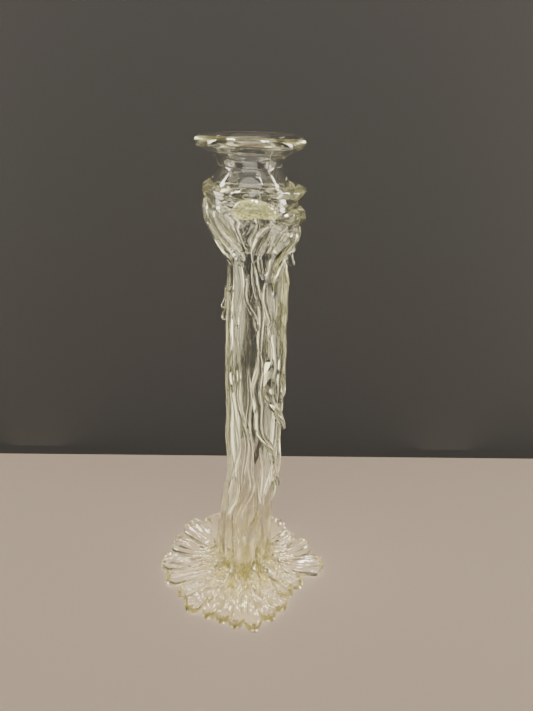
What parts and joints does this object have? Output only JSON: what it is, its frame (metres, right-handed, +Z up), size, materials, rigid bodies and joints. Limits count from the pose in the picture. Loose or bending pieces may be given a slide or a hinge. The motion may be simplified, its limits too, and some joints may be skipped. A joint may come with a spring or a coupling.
{
  "type": "bud vase",
  "caption": "Slender clear glass bud vase: flared saucer rim, bulb neck and hollow column dressed with folds, trails and drips, on a foot of pulled petals.",
  "frame": {"origin": "centre of the outline on the surface that the vase stands on", "axes": "+Z up along the vase, -Y towards the front, +X to the right of the front"},
  "size_m": [0.1232, 0.1054, 0.304],
  "materials": {
    "vessel_glass": "clear blown glass, faint warm tint, smooth",
    "trail_glass": "clear fire-polished trails, slightly wavy",
    "foot_glass": "clear pressed and pulled petals, finely fluted"
  },
  "bodies": {
    "root": {"vessel_body": "vessel_glass", "collar_wrap": "trail_glass", "thread_front": "trail_glass", "loop_front": "trail_glass", "drip_left_upper": "trail_glass", "drip_left_lower": "trail_glass", "drip_right_upper": "trail_glass", "drip_right_lower": "trail_glass", "collar_lens_front": "trail_glass", "collar_knot_right_upper": "trail_glass", "collar_knot_right": "trail_glass", "collar_fold_far_left": "trail_glass", "collar_fold_left": "trail_glass", "collar_fold_front_left": "trail_glass", "collar_fold_front": "trail_glass", "collar_sweep_right": "trail_glass", "collar_fold_right": "trail_glass", "drape_right_upper": "trail_glass", "drape_right_middle": "trail_glass", "drape_right_lower": "trail_glass", "trail_front_upper": "trail_glass", "trail_front_right": "trail_glass", "trail_left_upper": "trail_glass", "trail_front_lower": "trail_glass", "trail_left_diagonal": "trail_glass", "trail_left_inner": "trail_glass", "trail_left_outer": "trail_glass", "trail_front_base": "trail_glass", "trail_right_base": "trail_glass", "trail_right_outer": "trail_glass", "collar_fold_back_1": "trail_glass", "collar_fold_back_2": "trail_glass", "collar_fold_back_3": "trail_glass", "trail_back_1": "trail_glass", "trail_back_2": "trail_glass", "trail_back_3": "trail_glass", "trail_back_4": "trail_glass", "trail_back_5": "trail_glass", "foot_hub": "foot_glass", "petal_01": "foot_glass", "petal_02": "foot_glass", "petal_03": "foot_glass", "petal_04": "foot_glass", "petal_05": "foot_glass", "petal_06": "foot_glass", "petal_07": "foot_glass", "petal_08": "foot_glass", "petal_09": "foot_glass", "petal_10": "foot_glass", "petal_11": "foot_glass", "petal_12": "foot_glass", "petal_13": "foot_glass", "petal_14": "foot_glass", "petal_15": "foot_glass", "petal_16": "foot_glass", "petal_17": "foot_glass", "petal_18": "foot_glass", "petal_19": "foot_glass", "petal_20": "foot_glass", "petal_21": "foot_glass"}
  },
  "joints": []
}
